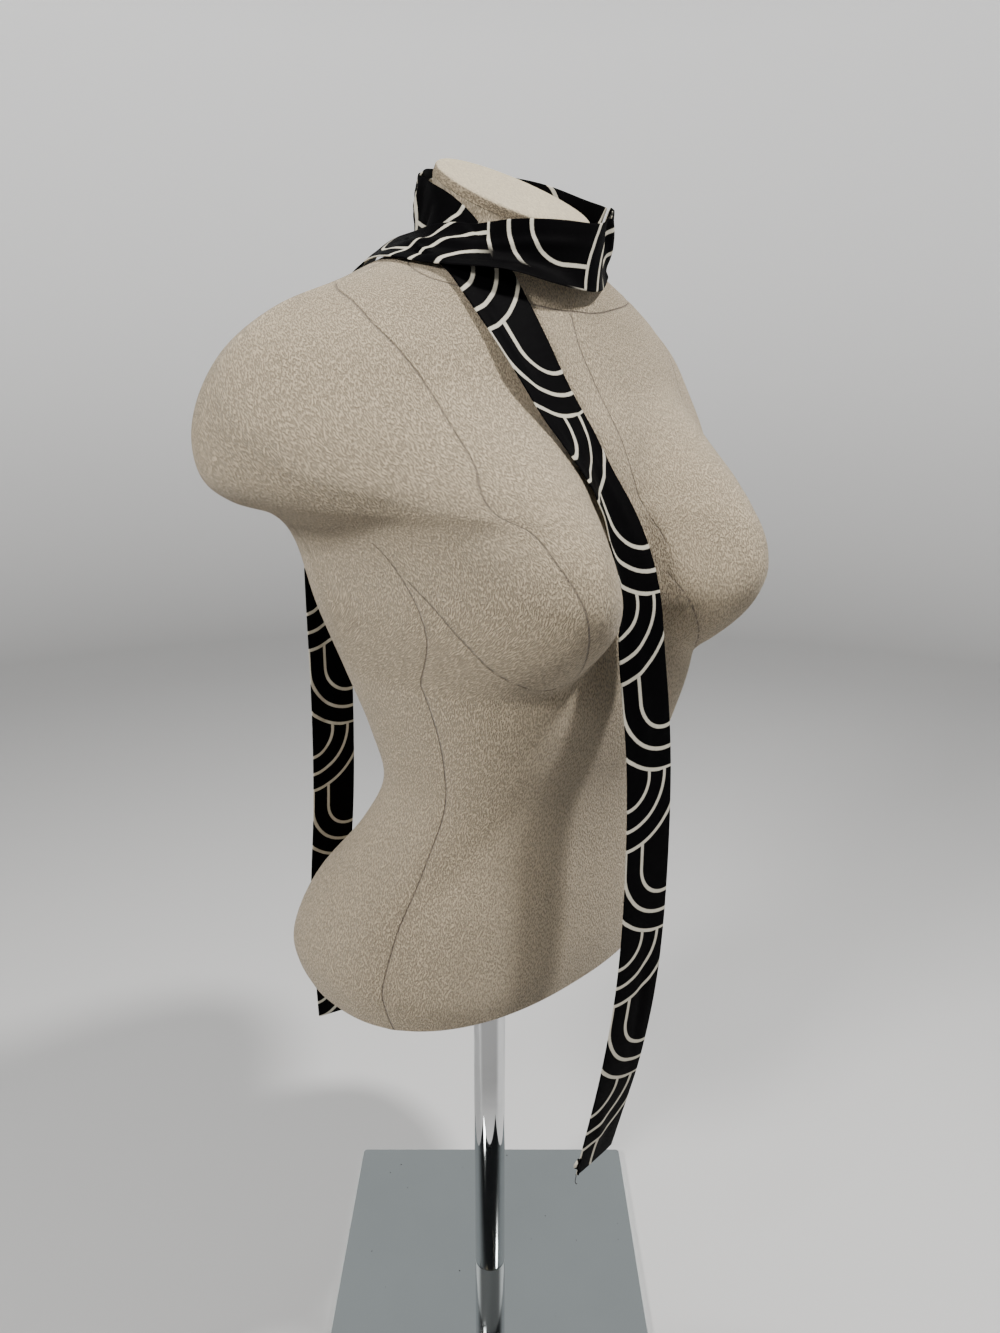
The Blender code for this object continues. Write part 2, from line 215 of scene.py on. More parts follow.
bm = bmesh.new()
profile = [bm.verts.new((0.0, 0.0, 0.0)), bm.verts.new((FLOOR_RING, 0.0, 0.0))]
for i in range(BEND_STEPS + 1):
    turn = math.pi / 2 * i / BEND_STEPS
    profile.append(bm.verts.new((FLOOR_RADIUS + BEND_RADIUS * math.sin(turn), 0.0,
                                 BEND_RADIUS * (1 - math.cos(turn)))))
profile.append(bm.verts.new((FLOOR_RADIUS + BEND_RADIUS, 0.0, WALL_TOP)))
profile += [bm.edges.new(pair) for pair in zip(profile, profile[1:])]
bmesh.ops.spin(bm, geom=profile, cent=(0, 0, 0), axis=(0, 0, 1), angle=2 * math.pi, steps=96,
               use_merge=True)
bmesh.ops.remove_doubles(bm, verts=bm.verts, dist=0.0001)
bmesh.ops.translate(bm, vec=(0, 0, -FLOOR_DROP), verts=bm.verts)
paper = Look("studio paper", Roughness=0.9)
spot = paper.place()
along_floor = paper.node("VectorMath", {"operation": "LENGTH"}, {
    0: paper.node("VectorMath", {"operation": "MULTIPLY"}, {0: spot, 1: (1, 1, 0)})}, "Value")
outward = along_floor + paper.node("SeparateXYZ", {}, {"Vector": spot}, "Z")
behind_form = paper.node("VectorMath", {"operation": "DOT_PRODUCT"}, {
    0: spot, 1: CAMERA_VIEW}, "Value") / along_floor
# Painted shade: how far the paper is darkened on the camera's side.
painted_shade_share = paper.maths("MAXIMUM", *(
    (1.0 - paper.step(behind_form, dark, pale)) * paper.step(outward, start, full)
    for dark, pale, start, full in PAINTED_SHADE_SIDES))
# Painted light and shade on the paper: a tone ramp and a glow ramp.
painted_light_tones = [(place / PAPER_SPAN, (tone, tone, tone)) for place, tone, _ in PAPER_PAINTED_LIGHT]
painted_glows = [(place / PAPER_SPAN, (painted_glow, painted_glow, painted_glow)) for place, _, painted_glow in PAPER_PAINTED_LIGHT]
painted_glow = paper.mix(painted_shade_share, paper.ramp(outward / PAPER_SPAN, painted_glows), (0.0, 0.0, 0.0))
paper.plug(painted_glow, paper.shader.inputs["Emission Color"])
paper.shader.inputs["Emission Strength"].default_value = 1.0
paper.finish(paper.mix(painted_shade_share, paper.ramp(outward / PAPER_SPAN, painted_light_tones), PAINTED_SHADE_TONE))
add_object("backdrop", bm, paper.material, smooth_angle=80.0)

for name, place, size, power, colour in LAMPS:
    lamp = bpy.data.objects.new(name, bpy.data.lights.new(name, "AREA"))
    lamp.data.shape = "DISK"
    lamp.data.size = size
    lamp.data.energy = power
    lamp.data.color = colour
    lamp.location = place
    lamp.rotation_euler = (LAMP_AIM - Vector(place)).to_track_quat("-Z", "Y").to_euler()
    bpy.context.scene.collection.objects.link(lamp)

world = bpy.data.worlds.new("studio")
world.use_nodes = True
nodes = world.node_tree.nodes
links = world.node_tree.links
direction = nodes.new("ShaderNodeTexCoord")
room_side = nodes.new("ShaderNodeVectorMath")
room_side.operation = "DOT_PRODUCT"
room_side.inputs[1].default_value = CAMERA_VIEW
shading = nodes.new("ShaderNodeMapRange")
shading.interpolation_type = "SMOOTHSTEP"
shading.inputs["From Min"].default_value = ROOM_CHANGE[0]
shading.inputs["From Max"].default_value = ROOM_CHANGE[1]
room = nodes.new("ShaderNodeMix")
room.data_type = "RGBA"
room.inputs[6].default_value = (*ROOM_DARK, 1.0)
room.inputs[7].default_value = (*ROOM_BRIGHT, 1.0)
links.new(direction.outputs["Generated"], room_side.inputs[0])
links.new(room_side.outputs["Value"], shading.inputs["Value"])
links.new(shading.outputs["Result"], room.inputs[0])
links.new(room.outputs[2], nodes["Background"].inputs["Color"])
bpy.context.scene.world = world

# The base
# A square plate of polished steel with small rounded corners and a broken edge. It lies flat on
# the floor, turned 45 degrees against the form, and carries a few specks and a cloudy polish.
PLATE_SIDE = 0.250
PLATE_CORNER = 0.004
PLATE_EDGE = 0.0007
PLATE_TURN = math.radians(45.0)
STEEL = (0.76, 0.80, 0.79)
SPECK = (0.05, 0.05, 0.05)
SPECK_CELLS = 75.0  # to a metre, and only some of them hold a speck
GRAIN_STRETCH = 60.0
plate_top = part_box("base_plate")[1].z

bm = bmesh.new()
bmesh.ops.create_cube(bm, size=1.0)
bmesh.ops.scale(bm, vec=(PLATE_SIDE, PLATE_SIDE, plate_top), verts=bm.verts)
bmesh.ops.translate(bm, vec=(0, 0, plate_top / 2), verts=bm.verts)
corners = [e for e in bm.edges if abs(e.verts[0].co.z - e.verts[1].co.z) > plate_top / 2]
bmesh.ops.bevel(bm, geom=corners, offset=PLATE_CORNER, segments=8, affect="EDGES", profile=0.5,
                material=-1)
rim = [e for e in bm.edges if e.calc_face_angle(0.0) > 1.0]
bmesh.ops.bevel(bm, geom=rim, offset=PLATE_EDGE, segments=3, affect="EDGES", profile=0.5,
                material=-1)
bmesh.ops.rotate(bm, cent=(0, 0, 0), matrix=Matrix.Rotation(PLATE_TURN, 3, "Z"), verts=bm.verts)

steel = Look("polished steel", Metallic=1.0)
along_grain = steel.place((1.0, GRAIN_STRETCH, 1.0), (0, 0, PLATE_TURN))
grain = steel.noise(along_grain, scale=30.0, detail=3.0)
cloud = steel.noise(steel.place(), scale=9.0, detail=4.0, roughness=0.6)
cells = {"Vector": steel.place(), "Scale": SPECK_CELLS}
speck_distance = steel.node("TexVoronoi", {"voronoi_dimensions": "2D"}, cells, "Distance")
speck_pick = steel.node("SeparateColor", {}, {"Color": steel.node(
    "TexVoronoi", {"voronoi_dimensions": "2D"}, cells, "Color")}, 0)
speck = (speck_distance < speck_pick * 0.5 - 0.44) * 0.85
tone = steel.mix(cloud, tuple(c * 0.93 for c in STEEL), tuple(c * 1.07 for c in STEEL))
steel.finish(steel.mix(speck, tone, SPECK),
             cloud * 0.03 + grain * 0.02 + speck * 0.4 + 0.03)
steel.bump(grain * 0.4 + cloud * 0.6 - speck, distance=0.00004, strength=0.12)
plate = add_object("base_plate_polished", bm, steel.material, smooth_angle=12.0)
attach(plate, "root")
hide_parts("base_plate")

# The pole
# A chromed steel tube, set on the plate and pushed up into the form. Its ends are turned with a
# small chamfer, so that a thin dark line shows where it meets the plate.
POLE_CHAMFER = 0.0006
CHROME = (0.66, 0.67, 0.68)
CHROME_SMUDGED = (0.58, 0.59, 0.60)
pole_low, pole_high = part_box("pole")
pole_radius = (pole_high.x - pole_low.x) / 2

bm = bmesh.new()
bmesh.ops.create_cone(bm, cap_ends=True, segments=128, radius1=pole_radius, radius2=pole_radius,
                      depth=pole_high.z - pole_low.z)
bmesh.ops.translate(bm, vec=(0, 0, (pole_low.z + pole_high.z) / 2), verts=bm.verts)
ends = [e for e in bm.edges if abs(e.verts[0].co.z - e.verts[1].co.z) < 0.001]
bmesh.ops.bevel(bm, geom=ends, offset=POLE_CHAMFER, segments=2, affect="EDGES", profile=0.5,
                material=-1)

chrome = Look("chrome", Metallic=1.0)
wiped = chrome.noise(chrome.place((1.0, 1.0, 0.15)), scale=160.0, detail=3.0, roughness=0.6)
patches = chrome.noise(chrome.place(), scale=28.0, detail=3.0, roughness=0.6)
smudge = chrome.step(patches, low=0.52, high=0.75)
chrome.finish(chrome.mix(smudge, CHROME, CHROME_SMUDGED), wiped * 0.03 + smudge * 0.05 + 0.02)
chrome.bump(wiped, distance=0.00002, strength=0.2)
pole = add_object("pole_chromed", bm, chrome.material)
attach(pole, "root")
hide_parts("pole")

# The form
# A hard foam torso under a stretched cover of crepe-woven linen. The cover is cut in panels, and
# its seams show as thin dark lines that lie a little lower than the cloth beside them.
# Rings. Columns: height, half width, depth in front, depth behind, where the widest point lies in
# y, roundness power behind and in front (2 is an ellipse), and how far the ring climbs backwards
# for each metre.
NECK_AXIS_Y = -0.023
FORM_RINGS = (
    (0.318, 0.138, 0.089, 0.106, 0.006, 2.40, 2.40, 0.00),
    (0.335, 0.145, 0.093, 0.111, 0.008, 2.40, 2.40, 0.00),
    (0.355, 0.148, 0.096, 0.111, 0.008, 2.30, 2.30, 0.00),
    (0.390, 0.138, 0.098, 0.092, 0.000, 2.30, 2.40, 0.00),
    (0.430, 0.114, 0.100, 0.062, -0.015, 2.20, 2.70, 0.00),
    (0.468, 0.101, 0.106, 0.044, -0.028, 2.20, 3.00, 0.00),
    (0.505, 0.107, 0.118, 0.054, -0.028, 2.20, 3.20, 0.00),
    (0.545, 0.119, 0.126, 0.070, -0.024, 2.20, 3.20, 0.00),
    (0.590, 0.131, 0.121, 0.084, -0.014, 2.30, 3.20, 0.00),
    (0.630, 0.139, 0.118, 0.092, -0.004, 2.30, 3.30, 0.00),
    (0.648, 0.152, 0.117, 0.095, 0.004, 2.30, 2.85, 0.00),
    (0.658, 0.180, 0.115, 0.096, 0.008, 2.20, 2.45, 0.00),
    (0.672, 0.198, 0.113, 0.096, 0.010, 2.10, 2.20, 0.00),
    (0.695, 0.203, 0.106, 0.093, 0.012, 2.00, 2.05, 0.00),
    (0.720, 0.197, 0.094, 0.087, 0.010, 1.95, 1.95, 0.00),
    (0.744, 0.183, 0.085, 0.078, 0.004, 1.80, 1.80, 0.00),
    (0.764, 0.158, 0.078, 0.064, -0.004, 1.60, 1.60, 0.00),
    (0.777, 0.126, 0.073, 0.050, -0.012, 1.60, 1.60, 0.00),
    (0.787, 0.094, 0.071, 0.038, -0.018, 1.75, 1.75, 0.06),
    (0.796, 0.069, 0.071, 0.032, -0.020, 1.95, 1.95, 0.15),
    (0.804, 0.057, 0.071, 0.029, -0.022, 2.00, 2.00, 0.24),
    (0.818, 0.052, 0.070, 0.025, NECK_AXIS_Y, 2.00, 2.00, 0.40),
    (0.831, 0.050, 0.067, 0.024, NECK_AXIS_Y, 2.00, 2.00, 0.55),
)
RING_STEPS = 8
RING_POINTS = 264
BUST_X = 0.082
BUST_Z = 0.612
BUST_HALF_WIDTH = 0.080  # towards the arm
BUST_INNER_WIDTH = 0.073  # towards the breastbone
BUST_ABOVE = 0.122
BUST_BELOW = 0.063
BUST_DEPTH = 0.056
BUST_POWERS = (1.25, 2.4)  # how sharply it rises under and over its middle
BUST_BLEND = 0.060  # the height over which one power goes over into the other
# The muscle beside the neck lifts the shoulder a little. Its middle in x and y, the lift and the
# reach, then the heights between which it acts and the height over which it fades out there.
NECK_MUSCLE = (0.078, 0.022, 0.0080, 0.036)
MUSCLE_LOW = 0.740
MUSCLE_HIGH = 0.812
MUSCLE_FADE = 0.020
# Seams that run up and down. Each row: height, then angle from the front towards the form's left.
# Each stands on both sides but for the middle ones.
PRINCESS_SEAM = ((0.562, 18.0), (0.580, 25.5), (0.597, 29.3), (0.612, 31.6), (0.630, 34.0),
                 (0.650, 35.0), (0.668, 33.5), (0.682, 32.3), (0.700, 33.3), (0.717, 35.5),
                 (0.735, 41.0), (0.750, 49.0), (0.766, 62.5), (0.776, 84.0))
SIDE_SEAM = ((0.318, 64.5), (0.344, 64.5), (0.378, 64.5), (0.407, 67.0), (0.439, 71.5),
             (0.468, 74.0), (0.527, 74.0), (0.574, 75.5), (0.609, 76.5), (0.640, 77.0))
FRONT_SEAM = ((0.609, 5.0), (0.629, 4.5), (0.655, 3.2),
              (0.690, 2.0), (0.723, 0.0), (0.743, -2.5), (0.765, -4.5))
BACK_SEAM = ((0.318, 180.0), (0.804, 180.0))
BACK_PRINCESS_SEAM = ((0.318, 148.0), (0.468, 146.0), (0.600, 148.0), (0.720, 142.0),
                      (0.770, 128.0))
# Seams that run round. Each row: angle, then height.
UNDER_BUST_SEAM = ((3.0, 0.628), (4.5, 0.609), (9.5, 0.5835), (17.0, 0.565), (25.0, 0.556),
                   (39.0, 0.561), (54.0, 0.573), (65.0, 0.590), (70.5, 0.604), (76.0, 0.622))
NECK_SEAM = ((0.0, 0.765), (8.5, 0.765), (16.5, 0.767), (22.0, 0.769), (45.0, 0.777),
             (70.0, 0.786), (110.0, 0.796), (180.0, 0.804))
SEAM_DEPTH = 0.0005
SEAM_VALLEY = 0.0035
SEAM_REACH = 0.009
SEAM_STEPS = 6
LOWER_EDGE = 0.0018
LINEN = (0.500, 0.405, 0.278)
SEAM_TONE = (0.13, 0.10, 0.08)
CREPE_RIDGES = 1380.0
CREPE_PATCHES = 95.0
CREPE_TURNS = (0.50, -0.55)  # how the ridges lean, in radians
CREPE_STRETCH = 0.34


def spline_rows(rows, steps):
    """Rows along a Catmull-Rom curve through the given rows."""
    table = np.array(rows, float)
    last = len(table) - 1
    made = []
    for i in range(last):
        before = table[max(i - 1, 0)]
        here = table[i]
        there = table[i + 1]
        after = table[min(i + 2, last)]
        for j in range(steps):
            t = j / steps
            made.append(0.5 * (2 * here + (there - before) * t
                               + (2 * before - 5 * here + 4 * there - after) * t ** 2
                               + (3 * here - before - 3 * there + after) * t ** 3))
    made.append(table[last])
    return np.array(made)


def form_ring(row, count):
    """One closed ring of the form, with the breasts raised on its front."""
    height, half_width, front, behind, middle, power_behind, power_front, climb = row
    ring = []
    for angle in np.linspace(0, 2 * math.pi, count, endpoint=False):
        across = math.sin(angle)
        along = math.cos(angle)
        depth = front + middle if along > 0 else behind - middle
        power = power_front if along > 0 else power_behind
        x = half_width * math.copysign(abs(across) ** (2 / power), across)
        y = middle - depth * math.copysign(abs(along) ** (2 / power), along)
        z = height + climb * (y - middle)
        rise = 0.0
        up = z - BUST_Z
        blend = min(1.0, max(0.0, up / BUST_BLEND + 0.5))
        blend = blend * blend * (3 - 2 * blend)
        sharpness = BUST_POWERS[0] + (BUST_POWERS[1] - BUST_POWERS[0]) * blend
        up = up / BUST_ABOVE if up > 0 else up / BUST_BELOW
        for side in (-1, 1):
            aside = x * side - BUST_X
            reach = BUST_HALF_WIDTH if aside > 0 else BUST_INNER_WIDTH
            inside = max(0.0, 1 - (aside / reach) ** 2 - up ** 2)
            rise = max(rise, inside ** sharpness)
        muscle_x, muscle_y, lift, spread = NECK_MUSCLE
        off_muscle = ((abs(x) - muscle_x) ** 2 + (y - muscle_y) ** 2) / spread ** 2
        fade = min(1.0, max(0.0, min(z - MUSCLE_LOW, MUSCLE_HIGH - z) / MUSCLE_FADE))
        lift *= math.exp(-off_muscle) * fade
        ring.append(Vector((x, y - BUST_DEPTH * rise * (y <= 0), z + lift)))
    return ring


def loft(rings, round_places, along_places, layers=()):
    """A tube through closed rings of points, still open along its first column.

    The two tables of places give its UV map, in metres. Each layer names a value for each point.
    """
    bm = bmesh.new()
    wide = len(rings[0])
    bmesh.ops.create_grid(bm, x_segments=wide, y_segments=len(rings) - 1, size=1.0)
    bm.verts.ensure_lookup_table()
    made = [bm.verts.layers.float.new(name) for name, _ in layers]
    for i, vert in enumerate(bm.verts):
        row, column = divmod(i, wide + 1)
        vert.co = rings[row][column % wide]
        for layer, (_, values) in zip(made, layers):
            vert[layer] = values[row][column % wide]
    cloth = bm.loops.layers.uv.new("cloth")
    for face in bm.faces:
        for loop in face.loops:
            row, column = divmod(loop.vert.index, wide + 1)
            loop[cloth].uv = (round_places[row][column], along_places[row][column])
    return bm


def close_seam(bm):
    bmesh.ops.remove_doubles(bm, verts=bm.verts, dist=0.000001)


def close_ends(bm):
    """Fills the open ends of a tube and turns all its faces outwards."""
    bmesh.ops.holes_fill(bm, edges=[e for e in bm.edges if e.is_boundary], sides=0)
    bmesh.ops.recalc_face_normals(bm, faces=bm.faces)


form_rows = spline_rows(FORM_RINGS, RING_STEPS)
form_points = np.array([[tuple(p) for p in form_ring(row, RING_POINTS)] for row in form_rows])
form_points = np.roll(form_points, RING_POINTS // 2, axis=1)
ring_heights = form_rows[:, 0]
ring_angles = np.linspace(-180, 180, RING_POINTS, endpoint=False)
steps_round = np.linalg.norm(np.roll(form_points, -1, 1) - form_points, axis=2)
steps_up = np.linalg.norm(np.diff(form_points, axis=0), axis=2)
metres_per_degree = (steps_round + np.roll(steps_round, 1, 1)) / 2 * RING_POINTS / 360
metres_per_rise = np.linalg.norm(np.gradient(form_points, axis=0), axis=2)
metres_per_rise /= np.gradient(ring_heights)[:, None]


class SeamLines:
    """The distance to the nearest of some seams, at each point of the form: below 0 on one side."""

    def __init__(self):
        self.signed = np.full(metres_per_rise.shape, 1.0)
        self.nearest = np.full(metres_per_rise.shape, 1.0)

    def add(self, distance, inside):
        here = np.where(inside, np.abs(distance), 1.0)
        closer = here < self.nearest
        self.signed[closer] = distance[closer]
        self.nearest[closer] = here[closer]

    def closeness(self):
        return np.clip(1 - self.nearest / SEAM_REACH, 0, 1)


upright = SeamLines()
for seam, sides in ((PRINCESS_SEAM, (-1, 1)), (SIDE_SEAM, (-1, 1)), (FRONT_SEAM, (1,)),
                    (BACK_SEAM, (1,)), (BACK_PRINCESS_SEAM, (-1, 1))):
    table = spline_rows(seam, SEAM_STEPS)
    for side in sides:
        angle = np.interp(ring_heights, table[:, 0], side * table[:, 1])[:, None]
        off = (ring_angles[None, :] - angle + 180) % 360 - 180
        lean = np.gradient(angle[:, 0], ring_heights)[:, None] * metres_per_degree
        distance = off * metres_per_degree / np.sqrt(1 + (lean / metres_per_rise) ** 2)
        inside = (ring_heights >= seam[0][0] - 0.001) & (ring_heights <= seam[-1][0])
        upright.add(distance, np.broadcast_to(inside[:, None], distance.shape))
level = SeamLines()
for seam in (UNDER_BUST_SEAM, NECK_SEAM):
    table = spline_rows(seam, SEAM_STEPS)
    height = np.interp(np.abs(ring_angles), table[:, 0], table[:, 1])
    slope = np.interp(np.abs(ring_angles), table[:, 0], np.gradient(table[:, 1], table[:, 0]))
    steep = slope[None, :] * metres_per_rise / metres_per_degree
    distance = (ring_heights[:, None] - height[None, :]) * metres_per_rise
    distance = distance / np.sqrt(1 + steep ** 2)
    inside = (np.abs(ring_angles) >= seam[0][0]) & (np.abs(ring_angles) <= seam[-1][0])
    level.add(distance, np.broadcast_to(inside[None, :], distance.shape))

form_normals = np.cross(np.roll(form_points, -1, 1) - np.roll(form_points, 1, 1),
                        np.gradient(form_points, axis=0))
form_normals /= np.linalg.norm(form_normals, axis=2)[:, :, None]
nearest_seam = np.minimum(upright.nearest, level.nearest)
form_points -= form_normals * (SEAM_DEPTH * np.exp(-(nearest_seam / SEAM_VALLEY) ** 2))[:, :, None]
cover_round = np.cumsum(np.pad(steps_round, ((0, 0), (1, 0))), axis=1)
cover_round -= cover_round[:, RING_POINTS // 2][:, None]
cover_up = np.cumsum(np.pad(steps_up, ((1, 0), (0, 0))), axis=0)
cover_up = np.concatenate([cover_up, cover_up[:, :1]], axis=1)
bm = loft([[Vector(p) for p in ring] for ring in form_points], cover_round, cover_up,
          (("upright_seam", upright.signed), ("upright_near", upright.closeness()),
           ("level_seam", level.signed), ("level_near", level.closeness())))
close_seam(bm)
close_ends(bm)
hem = [e for e in bm.edges if all(v.co.z < FORM_RINGS[0][0] + 0.0001 for v in e.verts)]
bmesh.ops.bevel(bm, geom=hem, offset=LOWER_EDGE, segments=3, affect="EDGES", profile=0.5,
                material=-1)


def crepe(look, where):
    """Short ridges that lean one way in one patch of the cloth and the other way in the next."""
    leaning = []
    for turn in CREPE_TURNS:
        turned = look.node("Mapping", {}, {"Vector": where, "Rotation": (0, 0, turn),
                                           "Scale": (1.0, CREPE_STRETCH, 1.0)})
        leaning.append(look.noise(turned, CREPE_RIDGES, detail=1.0, roughness=0.4, distortion=0.4))
    patch = look.step(look.noise(where, CREPE_PATCHES, detail=1.0), low=0.44, high=0.56)
    ridges = leaning[0] * (1.0 - patch) + leaning[1] * patch
    return look.step(ridges, low=0.40, high=0.58)


linen = Look("linen cover", Sheen_Weight=0.15, Sheen_Roughness=0.5)
cover = linen.node("UVMap", {"uv_map": "cloth"}, {})
ridges = crepe(linen, cover)
fibres = linen.noise(cover, scale=2400.0, detail=2.0, roughness=0.6)
patch = linen.noise(linen.place(), scale=12.0, detail=3.0, roughness=0.55)
stitch_line = None
for kind in ("upright", "level"):
    off_seam = abs(linen.node("Attribute", {"attribute_name": kind + "_seam"}, {}, "Fac"))
    near = linen.node("Attribute", {"attribute_name": kind + "_near"}, {}, "Fac")
    line = 1.0 - linen.step(off_seam, low=0.0002, high=0.0008)
    line = line * linen.step(near, low=0.5, high=0.8)
    stitch_line = line if stitch_line is None else linen.maths("MAXIMUM", stitch_line, line)
# The hollows between the crepe's ridges are painted darker than the ridges: painted shade in the
# weave, over the cloth's own tone.
colour = linen.mix(ridges, tuple(c * 0.52 for c in LINEN), tuple(c * 1.12 for c in LINEN))
colour = linen.mix(fibres * 0.22, colour, (0.62, 0.52, 0.38))
colour = linen.mix(linen.step(patch, low=0.3, high=0.7) * 0.10, colour, (0.62, 0.50, 0.34))
colour = linen.mix(stitch_line * 0.62, colour, SEAM_TONE)
linen.bump(ridges + fibres * 0.3 - stitch_line * 1.5, distance=0.0008, strength=1.0)
linen.finish(colour, 0.97 - ridges * 0.1)
form = add_object("form_covered", bm, linen.material, smooth_angle=50.0)
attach(form, "root")
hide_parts("form_body")

# The neck cap
# An oval board under a finer, paler cover of the same linen, laid on the slanted neck. Its cover
# is pulled over the rim, so the top is a little domed and the edge is soft. Its side is painted
# darker than its top as shade under the rim, and the hollows of its crepe are painted shade too.
CAP_THICK = 0.006
CAP_LIFT = 0.0003
CAP_ROUND = 0.0024
CAP_DOME = 0.0012
CAP_POINTS = 160
CAP_RINGS = 6
CAP_RING_STEP = 0.0065
CAP_LINEN = (0.66, 0.565, 0.405)
neck_up = Vector((0.0, -FORM_RINGS[-1][-1], 1.0)).normalized()

bm = bmesh.new()
neck_ring = form_ring(FORM_RINGS[-1], CAP_POINTS)
face = bm.faces.new([bm.verts.new(p + neck_up * CAP_LIFT) for p in neck_ring])
raised = bmesh.ops.extrude_face_region(bm, geom=[face])["geom"]
top = [v for v in raised if isinstance(v, bmesh.types.BMVert)]
bmesh.ops.translate(bm, vec=neck_up * CAP_THICK, verts=top)
top_face = next(f for f in raised if isinstance(f, bmesh.types.BMFace))
bmesh.ops.recalc_face_normals(bm, faces=bm.faces)
bmesh.ops.bevel(bm, geom=list(top_face.edges), offset=CAP_ROUND, segments=5, affect="EDGES",
                profile=0.5, material=-1)
top_face = max(bm.faces, key=lambda f: f.calc_center_median().dot(neck_up))
for ring in range(CAP_RINGS):
    bmesh.ops.inset_region(bm, faces=[top_face], thickness=CAP_RING_STEP, depth=0.0)
    share = (ring + 1) / CAP_RINGS
    rise = CAP_DOME * (1 - (1 - share) ** 2) - CAP_DOME * (1 - (1 - ring / CAP_RINGS) ** 2)
    bmesh.ops.translate(bm, vec=neck_up * rise, verts=top_face.verts)

cap_linen = Look("linen cap")
cap_side = cap_linen.place((1.0, 1.0, 1.0), (math.radians(-30.0), 0.0, 0.0))
cap_ridges = crepe(cap_linen, cap_side)
cap_facing = cap_linen.node("VectorMath", {"operation": "DOT_PRODUCT"}, {
    0: cap_linen.node("NewGeometry", {}, {}, "Normal"), 1: tuple(neck_up)}, "Value")
# The side is painted darker than the top by the way the surface faces: painted shade. The top's paler
# tone is partly the cover's own colour.
on_top = cap_linen.step(cap_facing, low=0.35, high=0.75)
painted_shade_side_tone = cap_linen.mix(cap_ridges, tuple(c * 0.42 for c in LINEN),
                          tuple(c * 0.85 for c in LINEN))
top_tone = cap_linen.mix(cap_ridges, tuple(c * 0.80 for c in CAP_LINEN), CAP_LINEN)
cap_linen.finish(cap_linen.mix(on_top, painted_shade_side_tone, top_tone), 0.95 - cap_ridges * 0.1)
cap_linen.bump(cap_ridges, distance=0.0006, strength=0.9)
cap = add_object("neck_cap_covered", bm, cap_linen.material, smooth_angle=60.0)
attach(cap, "root")
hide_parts("neck_cap")

# The scarf
# One narrow strip of black satin, folded lengthwise, sewn, turned and pressed flat, with a cream
# print of overlapping scallops that point to each end. It goes from the tip behind over the right
# shoulder, across the throat, round the neck, under its first strand and down over the bust.
SCARF_WIDTH = 0.037
SCARF_THICK = 0.0016
SCARF_CLEAR = 0.0017
# Hanging rows: x, y, z of the strip's middle, then the direction that its outer face looks in.
BACK_TAIL = (
    (-0.066, 0.112, 0.228, 0.0, 1.0, 0.0),
    (-0.067, 0.112, 0.300, 0.0, 1.0, 0.0),
    (-0.068, 0.109, 0.350, 0.0, 1.0, 0.0),
    (-0.067, 0.101, 0.420, 0.0, 1.0, 0.0),
    (-0.066, 0.098, 0.500, 0.0, 1.0, 0.0),
    (-0.066, 0.098, 0.600, 0.0, 1.0, 0.0),
    (-0.065, 0.097, 0.670, -0.1, 1.0, 0.1),
    (-0.064, 0.086, 0.730, -0.2, 0.9, 0.4),
    (-0.066, 0.062, 0.776, -0.35, 0.6, 0.7),
)
SHOULDER = (
    (-0.070, 0.034, 0.798, -0.60, 0.1, 0.80),
    (-0.072, 0.006, 0.802, -0.45, -0.2, 0.87),
    (-0.071, -0.018, 0.797, -0.38, -0.35, 0.86),
)
# Rows round the neck: angle from the front towards the form's left, height, distance from the
# neck's axis, how far the face leans up (degrees), then the lengthwise crease: its place across
# the width from the lower edge (0 to 1) and how far the part below it turns up (degrees).
NECK_LOOP = (
    (-67.0, 0.794, 0.0670, 8.0, 0.75, 58.0),
    (-46.0, 0.794, 0.0600, 5.0, 0.47, 54.0),
    (-28.0, 0.794, 0.0590, 4.0, 0.26, 50.0),
    (-8.0, 0.795, 0.0595, 3.0, 0.05, 34.0),
    (15.0, 0.795, 0.0600, 2.0, -0.10, 20.0),
    (42.0, 0.803, 0.0575, -10.0, -0.10, 0.0),
    (68.0, 0.813, 0.0600, -8.0, -0.10, 0.0),
    (96.0, 0.825, 0.0640, 0.0, -0.10, 0.0),
    (125.0, 0.838, 0.0620, 0.0, -0.10, 0.0),
    (155.0, 0.840, 0.0580, 0.0, -0.10, 0.0),
    (185.0, 0.838, 0.0560, 0.0, -0.10, 0.0),
    (212.0, 0.835, 0.0560, 0.0, -0.10, 0.0),
    (236.0, 0.824, 0.0570, 8.0, -0.10, 0.0),
    (256.0, 0.814, 0.0590, 12.0, -0.10, 0.0),
)
FRONT_TAIL = (
    (-0.063, -0.040, 0.801, -0.5, -0.5, 0.7),
    (-0.060, -0.058, 0.780, -0.2, -0.8, 0.6),
    (-0.055, -0.075, 0.757, -0.1, -0.88, 0.47),
    (-0.048, -0.091, 0.730, 0.0, -0.88, 0.47),
    (-0.041, -0.104, 0.704, 0.05, -0.9, 0.43),
    (-0.030, -0.116, 0.672, 0.05, -0.93, 0.33),
    (-0.021, -0.129, 0.642, -0.08, -0.98, 0.2),
    (-0.0195, -0.142, 0.606, -0.14, -0.98, 0.1),
    (-0.0175, -0.148, 0.565, -0.14, -0.99, 0.0),
    (-0.0110, -0.151, 0.500, -0.14, -0.99, 0.0),
    (-0.0105, -0.152, 0.420, -0.14, -0.99, 0.0),
    (-0.013, -0.150, 0.350, -0.14, -0.99, 0.0),
    (-0.020, -0.145, 0.290, -0.10, -0.99, 0.0),
    (-0.024, -0.138, 0.250, -0.04, -1.0, 0.0),
    (-0.029, -0.132, 0.213, 0.02, -1.0, 0.0),
)
COURSE_STEPS = 24  # places from one table row to the next
STATION_STEP = 0.008
ACROSS = 8
